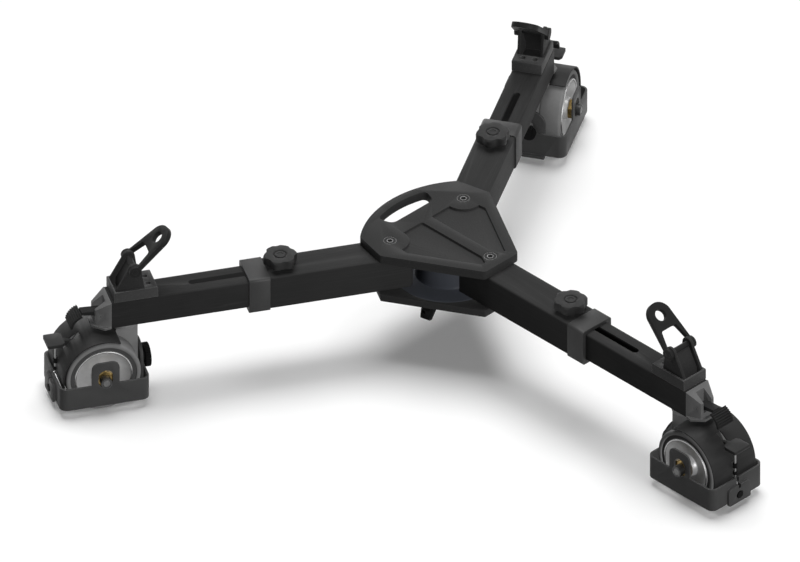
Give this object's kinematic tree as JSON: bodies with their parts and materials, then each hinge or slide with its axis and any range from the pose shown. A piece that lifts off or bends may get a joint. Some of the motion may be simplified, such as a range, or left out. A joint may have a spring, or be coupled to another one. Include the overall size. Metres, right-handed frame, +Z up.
{
  "type": "camera dolly",
  "caption": "Folding spider dolly for a studio tripod: a flat hub with a carrying handle, telescopic square arms, foot clamps and twin-wheel casters with cable guards.",
  "frame": {"origin": "the hub's axis at the top face of the hub plate", "axes": "+Z up, +X along the fixed arm, the carrying handle towards -X"},
  "size_m": [1.0414, 1.1866, 0.3027],
  "materials": {
    "anodised_black": "satin black anodised",
    "anodised_tube": "satin black anodised extrusion",
    "drum_blue": "satin blue-grey anodised",
    "black_plastic": "moulded, fine grain",
    "machined_steel": "turned",
    "black_steel": "satin black powder coat",
    "grey_aluminium": "dark grey anodised",
    "light_aluminium": "bead-blasted, clear anodised",
    "wheel_polyurethane": "pale grey moulded",
    "black_sheet": "satin black sheet metal",
    "guard_grey": "dark grey powder coat",
    "axle_steel": "turned, with brass nuts"
  },
  "bodies": {
    "hub": {"top_plate": "anodised_black", "bottom_plate": "anodised_black", "lock_drum": "drum_blue", "pivot_sleeves": "machined_steel", "pivot_screws": "machined_steel", "outer_tube_c": "anodised_tube", "tube_collar_c": "grey_aluminium"},
    "lock_lever": {"lock_lever": "black_plastic"},
    "arm_a": {"outer_tube_a": "anodised_tube", "tube_collar_a": "grey_aluminium"},
    "arm_b": {"outer_tube_b": "anodised_tube", "tube_collar_b": "grey_aluminium"},
    "knob_a": {"star_knob_a": "black_plastic"},
    "extension_a": {"inner_tube_a": "anodised_tube", "foot_bracket_a": "grey_aluminium", "clamp_saddle_a": "anodised_black", "end_cap_a": "light_aluminium"},
    "clamp_a": {"clamp_lever_a": "black_steel", "clamp_pin_a": "black_steel"},
    "direction_a": {"direction_pedal_a": "black_steel"},
    "caster_a": {"caster_fork_a": "light_aluminium", "fender_a": "black_sheet", "wheel_axle_a": "axle_steel"},
    "wheel_left_a": {"wheel_left_a": "wheel_polyurethane"},
    "wheel_right_a": {"wheel_right_a": "wheel_polyurethane"},
    "brake_a": {"brake_pedal_a": "black_steel"},
    "guard_a": {"cable_guard_a": "guard_grey"},
    "guard_knob_a": {"guard_knob_a": "black_plastic"},
    "knob_b": {"star_knob_b": "black_plastic"},
    "extension_b": {"inner_tube_b": "anodised_tube", "foot_bracket_b": "grey_aluminium", "clamp_saddle_b": "anodised_black", "end_cap_b": "light_aluminium"},
    "clamp_b": {"clamp_lever_b": "black_steel", "clamp_pin_b": "black_steel"},
    "direction_b": {"direction_pedal_b": "black_steel"},
    "caster_b": {"caster_fork_b": "light_aluminium", "fender_b": "black_sheet", "wheel_axle_b": "axle_steel"},
    "wheel_left_b": {"wheel_left_b": "wheel_polyurethane"},
    "wheel_right_b": {"wheel_right_b": "wheel_polyurethane"},
    "brake_b": {"brake_pedal_b": "black_steel"},
    "guard_b": {"cable_guard_b": "guard_grey"},
    "guard_knob_b": {"guard_knob_b": "black_plastic"},
    "knob_c": {"star_knob_c": "black_plastic"},
    "extension_c": {"inner_tube_c": "anodised_tube", "foot_bracket_c": "grey_aluminium", "clamp_saddle_c": "anodised_black", "end_cap_c": "light_aluminium"},
    "clamp_c": {"clamp_lever_c": "black_steel", "clamp_pin_c": "black_steel"},
    "direction_c": {"direction_pedal_c": "black_steel"},
    "caster_c": {"caster_fork_c": "light_aluminium", "fender_c": "black_sheet", "wheel_axle_c": "axle_steel"},
    "wheel_left_c": {"wheel_left_c": "wheel_polyurethane"},
    "wheel_right_c": {"wheel_right_c": "wheel_polyurethane"},
    "brake_c": {"brake_pedal_c": "black_steel"},
    "guard_c": {"cable_guard_c": "guard_grey"},
    "guard_knob_c": {"guard_knob_c": "black_plastic"}
  },
  "joints": [
    {"name": "hub_lock_turn", "type": "hinge", "parent": "hub", "child": "lock_lever", "pos_m": [0, 0, -0.1], "axis": [0, 0, 1], "range_deg": [-40, 40]},
    {"name": "fold_a", "type": "hinge", "parent": "hub", "child": "arm_a", "pos_m": [-0.048, -0.08314, -0.0463], "axis": [0, 0, 1], "range_deg": [0, 115]},
    {"name": "fold_b", "type": "hinge", "parent": "hub", "child": "arm_b", "pos_m": [-0.048, 0.08314, -0.0463], "axis": [0, 0, 1], "range_deg": [-115, 0]},
    {"name": "arm_clamp_turn_a", "type": "hinge", "parent": "arm_a", "child": "knob_a", "pos_m": [-0.139, -0.24076, -0.0043], "axis": [0, 0, 1], "range_deg": [0, 270]},
    {"name": "telescope_a", "type": "slide", "parent": "arm_a", "child": "extension_a", "axis": [-0.5, -0.866, 0], "range_m": [-0.135, 0.01]},
    {"name": "foot_clamp_tilt_a", "type": "hinge", "parent": "extension_a", "child": "clamp_a", "pos_m": [-0.2625, -0.45466, 0.0337], "axis": [0.866, -0.5, 0], "range_deg": [-60, 75]},
    {"name": "direction_lock_a", "type": "hinge", "parent": "extension_a", "child": "direction_a", "pos_m": [-0.289, -0.50056, -0.0493], "axis": [0.866, -0.5, 0], "range_deg": [-12, 10]},
    {"name": "caster_swivel_a", "type": "hinge", "parent": "extension_a", "child": "caster_a", "pos_m": [-0.2695, -0.46679, -0.0713], "axis": [0, 0, 1], "continuous": true},
    {"name": "wheel_left_spin_a", "type": "hinge", "parent": "caster_a", "child": "wheel_left_a", "pos_m": [-0.26787, -0.51796, -0.1478], "axis": [0.866, -0.5, 0], "continuous": true},
    {"name": "wheel_right_spin_a", "type": "hinge", "parent": "caster_a", "child": "wheel_right_a", "pos_m": [-0.31463, -0.49096, -0.1478], "axis": [0.866, -0.5, 0], "continuous": true},
    {"name": "brake_press_a", "type": "hinge", "parent": "caster_a", "child": "brake_a", "pos_m": [-0.30665, -0.53113, -0.1084], "axis": [0.866, -0.5, 0], "range_deg": [0, 10]},
    {"name": "guard_drop_a", "type": "slide", "parent": "caster_a", "child": "guard_a", "axis": [0, 0, 1], "range_m": [-0.009, 0]},
    {"name": "guard_clamp_turn_a", "type": "hinge", "parent": "caster_a", "child": "guard_knob_a", "pos_m": [-0.25, -0.43301, -0.1488], "axis": [-0.5, -0.866, 0], "range_deg": [0, 270]},
    {"name": "arm_clamp_turn_b", "type": "hinge", "parent": "arm_b", "child": "knob_b", "pos_m": [-0.139, 0.24076, -0.0043], "axis": [0, 0, 1], "range_deg": [0, 270]},
    {"name": "telescope_b", "type": "slide", "parent": "arm_b", "child": "extension_b", "axis": [-0.5, 0.866, 0], "range_m": [-0.135, 0.01]},
    {"name": "foot_clamp_tilt_b", "type": "hinge", "parent": "extension_b", "child": "clamp_b", "pos_m": [-0.2625, 0.45466, 0.0337], "axis": [-0.866, -0.5, 0], "range_deg": [-60, 75]},
    {"name": "direction_lock_b", "type": "hinge", "parent": "extension_b", "child": "direction_b", "pos_m": [-0.289, 0.50056, -0.0493], "axis": [-0.866, -0.5, 0], "range_deg": [-12, 10]},
    {"name": "caster_swivel_b", "type": "hinge", "parent": "extension_b", "child": "caster_b", "pos_m": [-0.2695, 0.46679, -0.0713], "axis": [0, 0, 1], "continuous": true},
    {"name": "wheel_left_spin_b", "type": "hinge", "parent": "caster_b", "child": "wheel_left_b", "pos_m": [-0.31463, 0.49096, -0.1478], "axis": [-0.866, -0.5, 0], "continuous": true},
    {"name": "wheel_right_spin_b", "type": "hinge", "parent": "caster_b", "child": "wheel_right_b", "pos_m": [-0.26787, 0.51796, -0.1478], "axis": [-0.866, -0.5, 0], "continuous": true},
    {"name": "brake_press_b", "type": "hinge", "parent": "caster_b", "child": "brake_b", "pos_m": [-0.30665, 0.53113, -0.1084], "axis": [-0.866, -0.5, 0], "range_deg": [0, 10]},
    {"name": "guard_drop_b", "type": "slide", "parent": "caster_b", "child": "guard_b", "axis": [0, 0, 1], "range_m": [-0.009, 0]},
    {"name": "guard_clamp_turn_b", "type": "hinge", "parent": "caster_b", "child": "guard_knob_b", "pos_m": [-0.25, 0.43301, -0.1488], "axis": [-0.5, 0.866, 0], "range_deg": [0, 270]},
    {"name": "arm_clamp_turn_c", "type": "hinge", "parent": "hub", "child": "knob_c", "pos_m": [0.278, 0, -0.0043], "axis": [0, 0, 1], "range_deg": [0, 270]},
    {"name": "telescope_c", "type": "slide", "parent": "hub", "child": "extension_c", "axis": [1, 0, 0], "range_m": [-0.135, 0.01]},
    {"name": "foot_clamp_tilt_c", "type": "hinge", "parent": "extension_c", "child": "clamp_c", "pos_m": [0.525, 0, 0.0337], "axis": [0, 1, 0], "range_deg": [-60, 75]},
    {"name": "direction_lock_c", "type": "hinge", "parent": "extension_c", "child": "direction_c", "pos_m": [0.578, 0, -0.0493], "axis": [0, 1, 0], "range_deg": [-12, 10]},
    {"name": "caster_swivel_c", "type": "hinge", "parent": "extension_c", "child": "caster_c", "pos_m": [0.539, 0, -0.0713], "axis": [0, 0, 1], "continuous": true},
    {"name": "wheel_left_spin_c", "type": "hinge", "parent": "caster_c", "child": "wheel_left_c", "pos_m": [0.5825, 0.027, -0.1478], "axis": [0, 1, 0], "continuous": true},
    {"name": "wheel_right_spin_c", "type": "hinge", "parent": "caster_c", "child": "wheel_right_c", "pos_m": [0.5825, -0.027, -0.1478], "axis": [0, 1, 0], "continuous": true},
    {"name": "brake_press_c", "type": "hinge", "parent": "caster_c", "child": "brake_c", "pos_m": [0.6133, 0, -0.1084], "axis": [0, 1, 0], "range_deg": [0, 10]},
    {"name": "guard_drop_c", "type": "slide", "parent": "caster_c", "child": "guard_c", "axis": [0, 0, 1], "range_m": [-0.009, 0]},
    {"name": "guard_clamp_turn_c", "type": "hinge", "parent": "caster_c", "child": "guard_knob_c", "pos_m": [0.5, 0, -0.1488], "axis": [1, 0, 0], "range_deg": [0, 270]}
  ]
}
